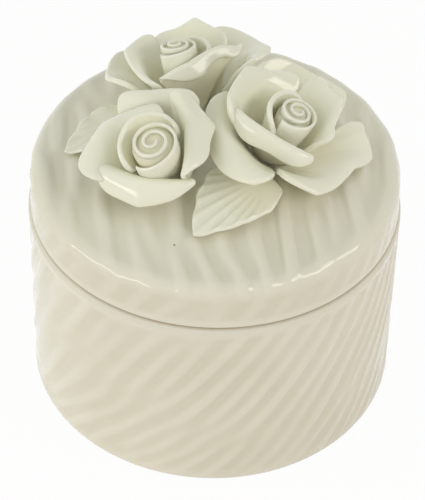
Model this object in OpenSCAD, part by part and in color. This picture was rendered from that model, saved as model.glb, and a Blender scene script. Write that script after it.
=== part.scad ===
// Porcelain trinket box: a round fluted base, a lift-off domed lid and three roses with two leaves.
// Millimetres, +Z up, the foot stands on Z = 0 and the axis of the box is the Z axis.

/* [Base] */
// Outside diameter of the base
base_d = 85; // [70:0.5:110]
// Height of the base's rim above the table
base_h = 51.2; // [35:0.1:80]
// Thickness of the base's wall
base_wall = 4; // [3:0.1:6]
// Thickness of the base's floor
base_floor = 4; // [3:0.1:8]
// Rounding of the bottom edge
foot_round = 3; // [1:0.1:5]
// Width of the flat ring that the box stands on
foot_ring_w = 5; // [3:0.1:10]
// Depth of the recess inside the foot ring
foot_recess = 1.5; // [0.5:0.1:2.5]
// Rounding where the floor meets the wall inside
floor_round = 4; // [1:0.1:8]
// Rounding of the rim's edges
rim_round = 0.6; // [0.2:0.1:1.2]

/* [Lid] */
// Step of the lid's outside inside the base's outside
lid_step = 0.5; // [0:0.1:1.5]
// Height of the lid's upright band
lid_band_h = 7.6; // [5:0.1:12]
// Height of the dome's crown above the base's rim
lid_crown_h = 16.2; // [14:0.1:25]
// Rounding of the shoulder between band and dome
lid_shoulder_r = 4.2; // [2:0.1:5]
// Thickness of the lid
lid_wall = 3.5; // [3:0.1:5]
// Depth of the flange that reaches into the base
flange_h = 5; // [3:0.1:9]
// Thickness of the flange
flange_t = 2.6; // [1.5:0.1:3.5]
// Clearance of the flange in the base's mouth, each side
flange_gap = 0.8; // [0.4:0.1:2]

/* [Rose places] */
// Sideways place of the middle of the three roses
cluster_x = -1.6; // [-4:0.1:4]
// Front to back place of the middle of the three roses
cluster_y = -0.4; // [-4:0.1:4]
// Distance of each rose from the middle of the three
rose_ring_r = 14; // [12:0.1:18]
// Direction of the right rose, the others follow a third of a turn apart
right_turn = -9.5; // [-60:0.5:60]
// Lean of each rose away from the middle
rose_tilt = 20; // [10:0.5:28]

/* [Rose hearts] */
// Height of the rolled heart above the lid
heart_h = 14; // [12:0.1:18]
// Diameter of the heart at its lip
heart_d = 10; // [8.5:0.1:11]
// Diameter of the heart at its foot
heart_foot_d = 6; // [4:0.1:7]
// Turns of the gap between the turns of the roll
heart_turns = 1.9; // [1:0.05:2.2]
// Radius of the innermost curl
heart_curl_r = 0.9; // [0.6:0.1:1.5]
// Thickness of the outermost turn at the lip
heart_lip_t = 1.3; // [1:0.05:1.6]
// Width of the gap between the turns
heart_gap = 0.5; // [0.3:0.05:0.8]
// Depth of the gap between the turns
heart_gap_h = 3; // [1.5:0.1:3.5]
// Direction of the roll's free end, seen in the box's own frame
heart_end_turn = 222; // [0:1:360]

/* [Petals] */
// Thickness of a petal at its root
petal_root_t = 1.3; // [1:0.05:1.6]
// Thickness of a petal at its lip
petal_lip_t = 0.8; // [0.6:0.05:1.2]
// Clearance of the petals' roots from the heart
petal_gap = 0.15; // [0.05:0.05:0.3]
// Clearance of the petals' roots and the leaves from the lid
seat_gap = 0.2; // [0.05:0.05:0.4]

/* [Leaves] */
// Thickness of a leaf
leaf_t = 1; // [0.7:0.05:1.5]
// Length of the front leaf
front_leaf_l = 23; // [15:0.5:24]
// Half width of the front leaf
front_leaf_w = 9; // [6:0.5:10]
// Distance of the front leaf's stalk end from the axis of the box
front_leaf_r = 17; // [14:0.5:20]
// Direction of the front leaf's stalk end from the axis of the box
front_leaf_turn = -45.5; // [-60:0.5:-30]
// Heading of the front leaf
front_leaf_heading = -135; // [-150:1:-120]
// Length of the left leaf
left_leaf_l = 18.5; // [12:0.5:20]
// Half width of the left leaf
left_leaf_w = 7.5; // [5:0.5:9]
// Distance of the left leaf's stalk end from the axis of the box
left_leaf_r = 18.5; // [16:0.5:22]
// Direction of the left leaf's stalk end from the axis of the box
left_leaf_turn = 159; // [140:1:170]
// Heading of the left leaf
left_leaf_heading = -154; // [-170:1:-140]

/* [Hidden] */

// Cream glaze, as the photograph shows it
glaze = [0.84, 0.83, 0.76];
$fn = 96;
cut = 1;

// Base
base_r = base_d / 2;
mouth_r = base_r - base_wall;
floor_z = foot_recess + base_floor;
foot_ring_in = base_r - foot_round - foot_ring_w;

// Lid: the dome is part of a ball that is tangent to the rounding of the shoulder
lid_r = base_r - lid_step;
lid_in_r = lid_r - lid_wall;
flange_r = mouth_r - flange_gap;
flange_in_r = flange_r - flange_t;
seat_top_z = base_h + lid_wall;
crown_z = base_h + lid_crown_h;
shoulder_x = lid_r - lid_shoulder_r;
shoulder_z = base_h + lid_band_h;
dome_rise = crown_z - shoulder_z;
dome_ball_r = (pow(shoulder_x, 2) + pow(dome_rise, 2) - pow(lid_shoulder_r, 2))
    / (2 * (dome_rise - lid_shoulder_r));
dome_ball_z = crown_z - dome_ball_r;
dome_edge_x = shoulder_x * dome_ball_r / (dome_ball_r - lid_shoulder_r);
function dome_z(r) = dome_ball_z + sqrt(pow(dome_ball_r, 2) - pow(min(r, dome_edge_x), 2));

// Roses
RIGHT = 0;
BACK = 1;
LEFT = 2;
rose_count = 3;
function rose_turn(rose) = right_turn + 360 / rose_count * rose;
function rose_x(rose) = cluster_x + rose_ring_r * cos(rose_turn(rose));
function rose_y(rose) = cluster_y + rose_ring_r * sin(rose_turn(rose));
function rose_z(rose) = dome_z(norm([rose_x(rose), rose_y(rose)]));
// How far the lid rises under a leaning rose, per millimetre outward
lid_lean = tan(rose_tilt - asin(rose_ring_r / dome_ball_r));

// Hearts
heart_r = heart_d / 2;
heart_foot_r = heart_foot_d / 2;
heart_foot_h = 2;
heart_crown_h = 1.4;
heart_lip_z = heart_h - heart_crown_h;
heart_bevel = 0.7;
heart_sunk = 4;
heart_steps = 20;
heart_exit_turn = 24;
function heart_r_at(z) = heart_foot_r + (heart_r - heart_foot_r)
    * (z - heart_foot_h) / (heart_lip_z - heart_foot_h);

// Petals: a row is a curve across the petal, given by how far it stands out from the heart's lip, its rise,
// half width and bend, how far its ends sink, its sideways shift and its slope from end to end
petal_cols = 10;
petal_rows = 7;
petal_side = 0.3;
petal_side_power = 4;
tip_power = 1.4;
slope_step = 0.01;
wrap_root_z = 4.5;
inner_root_z = 1.5;
outer_root_out = 1.2;
flat_bend = 0.5;
function row(out, rise, half_w, bend, sink = 0, shift = 0, skew = 0) =
    [heart_r + out, rise, half_w, abs(bend) < flat_bend ? flat_bend : bend, sink, shift, skew];
wrap_root_bend = 62;
root_bend = 47;
function arc_length(r, bend) = r * bend * PI / 180;
function wrap_root() =
    let (r = heart_r_at(wrap_root_z) + petal_gap + petal_root_t / 2)
    row(r - heart_r, wrap_root_z, arc_length(r, wrap_root_bend), wrap_root_bend);
// A root follows the lid, which rises on the outward side of a leaning rose
function lid_root(r, z, heading) =
    row(r - heart_r, z + r * lid_lean * cos(heading), arc_length(r, root_bend), root_bend,
        sink = r * lid_lean * cos(heading) * (1 - cos(root_bend)),
        skew = -r * lid_lean * sin(heading) * sin(root_bend));
function inner_root(heading) = lid_root(heart_foot_r + petal_gap + petal_root_t / 2, inner_root_z, heading);
function outer_root(heading) =
    lid_root(heart_foot_r + outer_root_out + petal_root_t, petal_root_t / 2 + seat_gap, heading);

// Point of a row at u, which runs from -1 to 1: outward, sideways, up
function row_point(r, u) =
    let (radius = r[2] * 180 / (PI * r[3]))
    [
        r[0] - radius * (1 - cos(u * r[3])),
        radius * sin(u * r[3]) + r[5],
        r[1] - r[4] * u * u + r[6] * u
    ];
// A point on the lip draws out near u = tip[0] by tip[1] over a half width of tip[2]
function tip_draw(tips, u) =
    len(tips) == 0 ? 0 : max([
        for (tip = tips)
            tip[1] * pow(max(0, 1 - abs(u - tip[0]) / tip[2]), tip_power)
    ]);
function unit(v) = v / norm(v);
function petal_mid(rows, tips, u, v) =
    let (
        w = v * (1 - petal_side * pow(abs(u), petal_side_power)),
        root = row_point(rows[0], u),
        belly = row_point(rows[1], u),
        fold = row_point(rows[2], u),
        lip = row_point(rows[3], u),
        drawn = lip + tip_draw(tips, u) * unit(lip - fold)
    )
    pow(1 - w, 3) * root + 3 * pow(1 - w, 2) * w * belly + 3 * (1 - w) * w * w * fold + pow(w, 3) * drawn;
function petal_side_point(rows, tips, u, v, side) =
    let (
        across = petal_mid(rows, tips, u + slope_step, v) - petal_mid(rows, tips, u - slope_step, v),
        along = petal_mid(rows, tips, u, v + slope_step) - petal_mid(rows, tips, u, v - slope_step),
        t = petal_root_t + (petal_lip_t - petal_root_t) * v
    )
    petal_mid(rows, tips, u, v) + side * t / 2 * unit(cross(across, along));

// Leaves
leaf_cols = 6;
leaf_rows = 10;
leaf_lift = 1.4;
leaf_curl = 1;
leaf_end_w = 0.2;
leaf_sweep = 0.15;
leaf_stalk_part = 0.07;
leaf_widest_power = 0.62;
leaf_round_power = 0.8;
leaf_lift_power = 1.2;
function leaf_half_w(v, half_w) =
    let (place = pow(leaf_stalk_part + (1 - leaf_stalk_part) * v, leaf_widest_power))
    max(leaf_end_w, half_w * pow(sin(180 * place), leaf_round_power));
function leaf_point(stalk, heading, length, half_w, u, v, side) =
    let (
        w = leaf_half_w(v, half_w),
        along = length * v + leaf_sweep * abs(u) * w,
        x = stalk[0] + along * cos(heading) + u * w * sin(heading),
        y = stalk[1] + along * sin(heading) - u * w * cos(heading),
        lift = leaf_lift * pow(1 - v, leaf_lift_power),
        curl = leaf_curl * u * u * sin(180 * v),
        z = dome_z(norm([x, y])) + seat_gap + lift + curl
    )
    [x, y, z + (1 + side) * leaf_t / 2];

// Closed sheet from two grids of points, the first below and the second above
function grid_index(cols, rows, layer, i, j) = layer * (cols + 1) * (rows + 1) + i * (rows + 1) + j;
function two_triangles(a, b, c, d) = [[a, b, c], [a, c, d]];
function sheet_faces(cols, rows) = [
    for (i = [0 : cols - 1], j = [0 : rows - 1], layer = [0, 1])
        let (
            a = grid_index(cols, rows, layer, i, j),
            b = grid_index(cols, rows, layer, i + 1, j),
            c = grid_index(cols, rows, layer, i + 1, j + 1),
            d = grid_index(cols, rows, layer, i, j + 1)
        )
        each layer == 0 ? two_triangles(a, b, c, d) : two_triangles(d, c, b, a),
    for (i = [0 : cols - 1], j = [0, rows])
        let (
            a = grid_index(cols, rows, 0, i, j),
            b = grid_index(cols, rows, 0, i + 1, j),
            c = grid_index(cols, rows, 1, i + 1, j),
            d = grid_index(cols, rows, 1, i, j)
        )
        each j == 0 ? two_triangles(d, c, b, a) : two_triangles(a, b, c, d),
    for (j = [0 : rows - 1], i = [0, cols])
        let (
            a = grid_index(cols, rows, 0, i, j),
            b = grid_index(cols, rows, 0, i, j + 1),
            c = grid_index(cols, rows, 1, i, j + 1),
            d = grid_index(cols, rows, 1, i, j)
        )
        each i == 0 ? two_triangles(a, b, c, d) : two_triangles(d, c, b, a)
];

module in_rose(rose) {
    translate([rose_x(rose), rose_y(rose), rose_z(rose)])
        rotate([0, rose_tilt, rose_turn(rose)])
            children();
}

module petal(rose, heading, root, belly, fold, lip, tips = []) {
    rows = [root, belly, fold, lip];
    points = [
        for (side = [-1, 1], i = [0 : petal_cols], j = [0 : petal_rows])
            petal_side_point(rows, tips, 2 * i / petal_cols - 1, j / petal_rows, side)
    ];
    color(glaze)
        in_rose(rose)
            rotate(heading)
                polyhedron(points, sheet_faces(petal_cols, petal_rows));
}

module leaf(stalk_r, stalk_turn, heading, length, half_w) {
    stalk = stalk_r * [cos(stalk_turn), sin(stalk_turn)];
    points = [
        for (side = [-1, 1], i = [0 : leaf_cols], j = [0 : leaf_rows])
            leaf_point(stalk, heading, length, half_w, 2 * i / leaf_cols - 1, j / leaf_rows, side)
    ];
    color(glaze)
        polyhedron(points, sheet_faces(leaf_cols, leaf_rows));
}

// Spiral gap between the turns of a heart, which comes out through the outermost turn at the roll's free end
module roll_gap(end_turn) {
    run_r = heart_r - heart_lip_t - heart_curl_r;
    steps = ceil(heart_turns * heart_steps);
    function spiral(k, edge) =
        let (
            r = heart_curl_r + run_r * k / steps + edge * heart_gap / 2,
            a = end_turn + heart_exit_turn + 360 * heart_turns * (1 - k / steps)
        )
        r * [cos(a), sin(a)];
    function free_end(edge) =
        (heart_r + heart_gap + edge * heart_gap / 2) * [cos(end_turn), sin(end_turn)];
    polygon(concat(
        [for (k = [0 : steps]) spiral(k, -1)],
        [free_end(-1), free_end(1)],
        [for (k = [steps : -1 : 0]) spiral(k, 1)]
    ));
}

module heart(rose) {
    color(glaze)
        difference() {
            in_rose(rose)
                difference() {
                    rotate_extrude()
                        polygon([
                            [0, -heart_sunk], [heart_foot_r, -heart_sunk], [heart_foot_r, heart_foot_h],
                            [heart_r, heart_lip_z], [heart_r - heart_bevel, heart_lip_z + heart_bevel],
                            [0, heart_h]
                        ]);
                    translate([0, 0, heart_lip_z - heart_gap_h])
                        linear_extrude(heart_h)
                            roll_gap(heart_end_turn - rose_turn(rose));
                }
            translate([0, 0, dome_ball_z])
                sphere(dome_ball_r);
        }
}

module base_outline() {
    square([base_r - foot_round, base_h]);
    translate([0, foot_round])
        square([base_r, base_h - foot_round - rim_round]);
    translate([0, foot_round])
        square([base_r - rim_round, base_h - foot_round]);
    translate([base_r - foot_round, foot_round])
        circle(foot_round);
    translate([base_r - rim_round, base_h - rim_round])
        circle(rim_round);
}

module base_hollow() {
    translate([0, floor_z])
        square([mouth_r - floor_round, base_h]);
    translate([0, floor_z + floor_round])
        square([mouth_r, base_h]);
    translate([mouth_r - floor_round, floor_z + floor_round])
        circle(floor_round);
    difference() {
        translate([0, base_h - rim_round])
            square([mouth_r + rim_round, base_h]);
        translate([mouth_r + rim_round, base_h - rim_round])
            circle(rim_round);
    }
}

module base_box() {
    color(glaze)
        rotate_extrude()
            difference() {
                base_outline();
                base_hollow();
                translate([0, -cut])
                    square([foot_ring_in, foot_recess + cut]);
            }
}

module lid_outline() {
    intersection() {
        translate([0, dome_ball_z])
            circle(dome_ball_r);
        translate([0, shoulder_z])
            square([dome_edge_x, lid_crown_h]);
    }
    translate([shoulder_x, shoulder_z])
        circle(lid_shoulder_r);
    translate([0, base_h + rim_round])
        square([lid_r, lid_band_h - rim_round]);
    translate([0, base_h])
        square([lid_r - rim_round, lid_band_h]);
    translate([lid_r - rim_round, base_h + rim_round])
        circle(rim_round);
}

module lid_hollow() {
    translate([0, base_h - cut])
        square([flange_in_r, lid_wall + 2 * cut]);
    intersection() {
        translate([0, dome_ball_z])
            circle(dome_ball_r - lid_wall);
        translate([0, seat_top_z])
            square([lid_in_r, lid_crown_h]);
    }
}

module lid_shell() {
    color(glaze)
        rotate_extrude() {
            difference() {
                lid_outline();
                lid_hollow();
            }
            translate([flange_in_r, base_h - flange_h])
                square([flange_t, flange_h + cut]);
        }
}

module left_heart() {
    heart(LEFT);
}

module left_wrap() {
    petal(LEFT, heading = -106, root = wrap_root(),
        belly = row(0, 7.5, 8, 85),
        fold = row(1, 11.5, 10.5, 90, sink = 0.5, shift = 0.5),
        lip = row(2.7, 14.5, 11, 86, sink = 2, skew = -1));
}

module left_petal_right() {
    petal(LEFT, heading = 136, root = inner_root(136),
        belly = row(2.5, 4, 7, 52),
        fold = row(-0.8, 16.5, 13.5, 10, sink = -1, shift = 5.5, skew = 0.5),
        lip = row(7, 10, 11, 15, sink = 0.5, shift = 3),
        tips = [[0.15, 1.8, 0.4]]);
}

module left_petal_front() {
    petal(LEFT, heading = 24, root = inner_root(24),
        belly = row(2, 3, 6.5, 52),
        fold = row(-1.5, 13, 12.5, 15, sink = -0.5, shift = -1.5, skew = -1),
        lip = row(6.5, 6, 12, 10, sink = 0.5, shift = -1.5, skew = 0.5),
        tips = [[0, 1.2, 0.45], [0.9, 1, 0.4]]);
}

module left_petal_left() {
    petal(LEFT, heading = -93, root = inner_root(-93),
        belly = row(3.5, 4, 8.5, 57),
        fold = row(9.5, 10.5, 12.5, 50, skew = -0.5),
        lip = row(10.5, 10.5, 13, 50, sink = 1.5, shift = 0.5, skew = 1.5),
        tips = [[0.75, 1.6, 0.5], [-0.1, 1.2, 0.4]]);
}

module left_outer_back() {
    petal(LEFT, heading = -140, root = outer_root(-140),
        belly = row(5, 3, 9, 50),
        fold = row(11.2, 10, 9.5, 15, shift = -1),
        lip = row(13.5, 8.5, 10, 0, sink = -0.5, shift = 1.5, skew = 1));
}

module right_heart() {
    heart(RIGHT);
}

module right_wrap() {
    petal(RIGHT, heading = 155, root = wrap_root(),
        belly = row(0, 7.5, 8, 82),
        fold = row(1.6, 12, 10, 90),
        lip = row(1.3, 14.5, 9.5, 80, sink = 1.5, skew = -1));
}

module right_petal_back() {
    petal(RIGHT, heading = 144, root = inner_root(144),
        belly = row(3.5, 4, 8.5, 56),
        fold = row(6.5, 10.5, 12.5, 55, shift = 1, skew = -0.5),
        lip = row(9, 12, 15, 45, sink = 0.5, skew = -0.5),
        tips = [[0.05, 2.2, 0.5], [0.8, 0.8, 0.35], [-0.85, 1, 0.3]]);
}

module right_petal_right() {
    petal(RIGHT, heading = 22, root = inner_root(22),
        belly = row(2.5, 4, 9, 65),
        fold = row(3.5, 12, 9, 55, shift = 1.5),
        lip = row(6, 14, 11.5, 35, shift = 3.5, skew = 1),
        tips = [[0, 2.6, 0.5], [-0.9, 2, 0.4], [0.75, 1.4, 0.4]]);
}

module right_petal_front() {
    petal(RIGHT, heading = -102, root = inner_root(-102),
        belly = row(2.6, 4, 7, 52),
        fold = row(0.4, 15.5, 11.5, 25, sink = -0.5, shift = -2),
        lip = row(5.5, 8.5, 11, -15, sink = 2.5, skew = 1));
}

module right_outer_front() {
    petal(RIGHT, heading = -127, root = outer_root(-127),
        belly = row(5, 3, 8, 45),
        fold = row(8.5, 9.5, 13.5, 40, sink = -1.5, shift = -7.5, skew = -1),
        lip = row(14, 3.5, 13, 30, sink = -4, shift = -0.5, skew = 2));
}

module right_outer_right() {
    petal(RIGHT, heading = -31, root = outer_root(-31),
        belly = row(5, 2.5, 8, 45),
        fold = row(9.5, 7, 14.5, 70, sink = -1.5, shift = 4, skew = 1.5),
        lip = row(11.5, 5.5, 19.5, 62, sink = -6, shift = 2, skew = 0.5),
        tips = [[-0.2, 1.8, 0.45], [0.55, 3, 0.3], [0.85, 3, 0.25]]);
}

module right_outer_back() {
    petal(RIGHT, heading = 80, root = outer_root(80),
        belly = row(5, 2.5, 9, 50),
        fold = row(10, 7, 12.5, 35, sink = -0.5, shift = 3),
        lip = row(15, 9.5, 13, 25, sink = -1, skew = 0.5),
        tips = [[0.75, 1, 0.4], [-0.6, 1.6, 0.5]]);
}

module back_heart() {
    heart(BACK);
}

module back_wrap() {
    petal(BACK, heading = -62, root = wrap_root(),
        belly = row(0, 7.5, 8, 82),
        fold = row(1.6, 12, 10, 90),
        lip = row(1.5, 14.5, 9.5, 85, sink = 0.5));
}

module back_petal_back() {
    petal(BACK, heading = -30, root = inner_root(-30),
        belly = row(3, 4, 7, 48),
        fold = row(6.5, 12, 9.5, 40, sink = -0.5, shift = -1),
        lip = row(8.5, 14, 8.5, 30, sink = -0.5, shift = -0.5),
        tips = [[-0.1, 2, 0.5], [-0.95, 1.4, 0.3]]);
}

module back_petal_front() {
    petal(BACK, heading = -168, root = inner_root(-168),
        belly = row(2.6, 4, 8, 60),
        fold = row(0.4, 20, 16, 10, sink = -0.5, shift = 5, skew = 1),
        lip = row(4, 11.5, 9.5, -5, sink = 4.5, shift = 0.5, skew = 2),
        tips = [[0.75, 2.8, 0.35], [-0.45, 1, 0.5]]);
}

module back_petal_left() {
    petal(BACK, heading = 73, root = inner_root(73),
        belly = row(2.5, 4, 7, 48),
        fold = row(5, 12, 10, 35, sink = -0.5, shift = 1, skew = -1),
        lip = row(7.5, 12, 11.5, 35, sink = -0.5, shift = 0.5, skew = -1.5),
        tips = [[-0.1, 1.4, 0.5], [-0.75, 0.6, 0.3]]);
}

module back_outer_left() {
    petal(BACK, heading = 65, root = outer_root(65),
        belly = row(5, 2.5, 9, 50),
        fold = row(10.5, 6.5, 11, 40, sink = -1.5, shift = -1.5, skew = 0.5),
        lip = row(13.5, 8.5, 11.5, 20, sink = -4, shift = -2, skew = -1));
}

module back_outer_right() {
    petal(BACK, heading = -82, root = outer_root(-82),
        belly = row(5, 3, 9, 50),
        fold = row(10, 8.5, 12, 55, sink = -2, shift = 1.5),
        lip = row(14, 11, 16, 30, sink = -2, shift = 1, skew = 1.5),
        tips = [[-0.45, 1.5, 0.4]]);
}

module leaf_front() {
    leaf(front_leaf_r, front_leaf_turn, front_leaf_heading, front_leaf_l, front_leaf_w);
}

module leaf_left() {
    leaf(left_leaf_r, left_leaf_turn, left_leaf_heading, left_leaf_l, left_leaf_w);
}

base_box();
lid_shell();
left_heart();
left_wrap();
left_petal_right();
left_petal_front();
left_petal_left();
left_outer_back();
right_heart();
right_wrap();
right_petal_back();
right_petal_right();
right_petal_front();
right_outer_front();
right_outer_right();
right_outer_back();
back_heart();
back_wrap();
back_petal_back();
back_petal_front();
back_petal_left();
back_outer_left();
back_outer_right();
leaf_front();
leaf_left();
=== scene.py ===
# %% [markdown]
# Porcelain trinket box
#
# The real object is a small round box of cream-glazed porcelain. The base and the lid are slip castings with
# hand-carved flutes. On the lid sit three roses and two leaves, each petal pinched from a sheet of clay,
# wrapped round a rolled heart and stuck down with slip before one firing under a glossy glaze.
#
# The script dresses a finished CAD model. Every piece below stands for one solid of that model, keeps its
# place and size, and rides on the same body, so the lid can still be lifted off.

# %% Frame
import math

import bmesh
import bpy
import numpy as np
from mathutils import Matrix, Vector


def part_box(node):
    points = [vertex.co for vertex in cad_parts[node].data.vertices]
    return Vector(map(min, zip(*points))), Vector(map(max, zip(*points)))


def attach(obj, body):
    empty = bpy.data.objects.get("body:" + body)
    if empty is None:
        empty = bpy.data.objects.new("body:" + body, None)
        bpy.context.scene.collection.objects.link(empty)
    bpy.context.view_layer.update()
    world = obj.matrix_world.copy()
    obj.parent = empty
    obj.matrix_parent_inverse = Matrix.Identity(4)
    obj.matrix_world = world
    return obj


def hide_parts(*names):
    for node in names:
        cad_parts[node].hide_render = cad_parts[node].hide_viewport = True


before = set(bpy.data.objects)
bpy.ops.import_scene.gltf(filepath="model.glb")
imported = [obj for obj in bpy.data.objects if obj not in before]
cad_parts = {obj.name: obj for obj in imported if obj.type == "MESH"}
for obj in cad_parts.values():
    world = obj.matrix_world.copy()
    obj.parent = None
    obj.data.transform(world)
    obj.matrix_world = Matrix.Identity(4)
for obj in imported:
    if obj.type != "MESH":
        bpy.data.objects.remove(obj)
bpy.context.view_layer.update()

# %% [markdown]
# Sizes come from the frame where the solids show them: the base's radius and rim, the lid's radius, its crown
# and the lower end of the flange that keeps it in place. The rest are the few sizes a potter would write
# down. Lengths are in millimetres and become metres only when a mesh is made.

# %% Sizes from the frame
MM = 0.001
base_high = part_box("base_box")[1] / MM
lid_low, lid_high = (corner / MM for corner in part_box("lid_shell"))
BASE_R = base_high.x
RIM_Z = base_high.z
LID_R = lid_high.x
CROWN_Z = lid_high.z
FLANGE_Z = lid_low.z

BASE_WALL = 4.0
BASE_FLOOR_Z = 5.5
FLOOR_ROUND = 4.0
FOOT_ROUND = 3.0
FOOT_RING_W = 5.0
FOOT_RECESS = 1.5
RIM_ROUND = 0.6
LID_WALL = 3.5
LID_BAND_H = 7.6
SHOULDER_R = 4.2
FLANGE_T = 2.6
FLANGE_GAP = 0.8

SHOULDER_X = LID_R - SHOULDER_R
SHOULDER_Z = RIM_Z + LID_BAND_H
DOME_RISE = CROWN_Z - SHOULDER_Z
DOME_BALL_R = (SHOULDER_X**2 + DOME_RISE**2 - SHOULDER_R**2) / (2 * (DOME_RISE - SHOULDER_R))
DOME_BALL_Z = CROWN_Z - DOME_BALL_R
DOME_EDGE_X = SHOULDER_X * DOME_BALL_R / (DOME_BALL_R - SHOULDER_R)


def dome_z(r):
    return DOME_BALL_Z + np.sqrt(DOME_BALL_R**2 - np.minimum(r, DOME_EDGE_X) ** 2)


print(f"base radius {BASE_R:.1f}, rim at {RIM_Z:.1f}, lid radius {LID_R:.1f}, crown at {CROWN_Z:.1f}")

# %% [markdown]
# The camera stands where the photographer stood: about 44 degrees above the table and far enough back that
# the round rims are only gently foreshortened. The image is 425 by 500 pixels, and the focal length in
# pixels turns into a lens through the longer side.

# %% Camera
IMAGE_W, IMAGE_H = 425, 500
SENSOR = 36.0
FOCAL_PIXELS = 2454
CAMERA_ELEVATION = math.radians(44.43)
CAMERA_ROLL = math.radians(1.48)
CAMERA_DISTANCE = 572.4
CAMERA_TARGET = Vector((-0.21, 0.0, 33.75))

camera_data = bpy.data.cameras.new("photo_camera")
camera_data.sensor_width = SENSOR
camera_data.lens = FOCAL_PIXELS * SENSOR / max(IMAGE_W, IMAGE_H)
camera_data.clip_start = 0.01
camera = bpy.data.objects.new("photo_camera", camera_data)
bpy.context.scene.collection.objects.link(camera)
camera_back = Vector((0, -math.cos(CAMERA_ELEVATION), math.sin(CAMERA_ELEVATION)))
camera_turn = camera_back.to_track_quat("Z", "Y") @ Matrix.Rotation(CAMERA_ROLL, 3, "Z").to_quaternion()
camera_place = (CAMERA_TARGET + CAMERA_DISTANCE * camera_back) * MM
camera.matrix_world = Matrix.LocRotScale(camera_place, camera_turn, None)
bpy.context.scene.camera = camera
print(f"lens {camera_data.lens:.1f} mm, {CAMERA_DISTANCE:.0f} mm away")

# %% [markdown]
# The studio is a white sweep with two soft boxes, a low one at the left and a higher one at the right, which
# draw the long streaks on the lid's shoulder. Round it stands white card, which is brighter at the left.
# Lamps stay at a plain level, so that a colour renders about as it is written. White reaches the camera and
# the reflections through Light Path, and the floor keeps the shadow.

# %% Studio
FLOOR_SIZE = 4.0
SKY_STRENGTH = 0.55
SKY_LEAN = 0.37
SKY_BRIGHT_SIDE = (-0.99, 0.08, 0.11)
SKY_TINT = (0.98, 1.0, 0.96)
FLOOR_COLOUR = (0.95, 0.88, 0.87)
FLOOR_ROUGHNESS = 0.9
FLOOR_GLOW = 0.96
LAMP_AIM = Vector((0, 0, 0.05))
LAMP_DISTANCE = 0.6


def light_path_rays(nodes, links):
    """Value that is 1 for camera, glossy and transmission rays."""
    path = nodes.new("ShaderNodeLightPath")
    rays = path.outputs["Is Camera Ray"]
    for name in ("Is Glossy Ray", "Is Transmission Ray"):
        larger = nodes.new("ShaderNodeMath")
        larger.operation = "MAXIMUM"
        links.new(rays, larger.inputs[0])
        links.new(path.outputs[name], larger.inputs[1])
        rays = larger.outputs[0]
    return rays


def white_sky():
    world = bpy.data.worlds.new("white_sky")
    world.use_nodes = True
    nodes, links = world.node_tree.nodes, world.node_tree.links
    soft = nodes["Background"]
    soft.inputs["Color"].default_value = (*SKY_TINT, 1)
    direction = nodes.new("ShaderNodeTexCoord")
    toward = nodes.new("ShaderNodeVectorMath")
    toward.operation = "DOT_PRODUCT"
    toward.inputs[1].default_value = SKY_BRIGHT_SIDE
    strength = nodes.new("ShaderNodeMath")
    strength.operation = "MULTIPLY_ADD"
    strength.inputs[1].default_value = SKY_LEAN
    strength.inputs[2].default_value = SKY_STRENGTH
    links.new(direction.outputs["Generated"], toward.inputs[0])
    links.new(toward.outputs["Value"], strength.inputs[0])
    links.new(strength.outputs[0], soft.inputs["Strength"])
    white = nodes.new("ShaderNodeBackground")
    mix = nodes.new("ShaderNodeMixShader")
    links.new(light_path_rays(nodes, links), mix.inputs["Fac"])
    links.new(soft.outputs[0], mix.inputs[1])
    links.new(white.outputs[0], mix.inputs[2])
    white.inputs["Color"].default_value = (1, 1, 1, 1)
    links.new(mix.outputs[0], nodes["World Output"].inputs["Surface"])
    bpy.context.scene.world = world


def floor_material():
    material = bpy.data.materials.new("white_floor")
    material.use_nodes = True
    nodes, links = material.node_tree.nodes, material.node_tree.links
    paint = nodes["Principled BSDF"]
    paint.inputs["Base Color"].default_value = (*FLOOR_COLOUR, 1)
    paint.inputs["Roughness"].default_value = FLOOR_ROUGHNESS
    paint.inputs["Specular IOR Level"].default_value = 0.0
    glow = nodes.new("ShaderNodeEmission")
    mix = nodes.new("ShaderNodeMixShader")
    share = nodes.new("ShaderNodeMath")
    share.operation = "MULTIPLY"
    share.inputs[1].default_value = FLOOR_GLOW
    links.new(light_path_rays(nodes, links), share.inputs[0])
    links.new(share.outputs[0], mix.inputs["Fac"])
    links.new(paint.outputs[0], mix.inputs[1])
    links.new(glow.outputs[0], mix.inputs[2])
    links.new(mix.outputs[0], nodes["Material Output"].inputs["Surface"])
    return material


def floor():
    half = FLOOR_SIZE / 2
    mesh = bpy.data.meshes.new("floor")
    corners = [(-half, -half, 0), (half, -half, 0), (half, half, 0), (-half, half, 0)]
    mesh.from_pydata(corners, [], [(0, 1, 2, 3)])
    mesh.materials.append(floor_material())
    sweep = bpy.data.objects.new("floor", mesh)
    bpy.context.scene.collection.objects.link(sweep)


def soft_box(name, azimuth, elevation, width, height, watts, tint):
    """Rectangular lamp that faces the box from that direction in degrees; its sizes are in metres."""
    lamp = bpy.data.lights.new(name, "AREA")
    lamp.shape = "RECTANGLE"
    lamp.size = width
    lamp.size_y = height
    lamp.energy = watts
    lamp.color = tint
    a, e = math.radians(azimuth), math.radians(elevation)
    toward = Vector((math.cos(e) * math.cos(a), math.cos(e) * math.sin(a), math.sin(e)))
    holder = bpy.data.objects.new(name, lamp)
    holder.location = LAMP_AIM + LAMP_DISTANCE * toward
    holder.rotation_euler = toward.to_track_quat("Z", "Y").to_euler()
    bpy.context.scene.collection.objects.link(holder)


white_sky()
floor()
soft_box("left_soft_box", azimuth=214, elevation=9, width=0.50, height=0.11, watts=0.68,
         tint=(1.0, 0.965, 0.93))
soft_box("right_soft_box", azimuth=-27, elevation=34, width=0.46, height=0.19, watts=1.15,
         tint=(1.0, 0.96, 0.92))
bpy.context.scene.view_settings.view_transform = "Standard"

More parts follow.
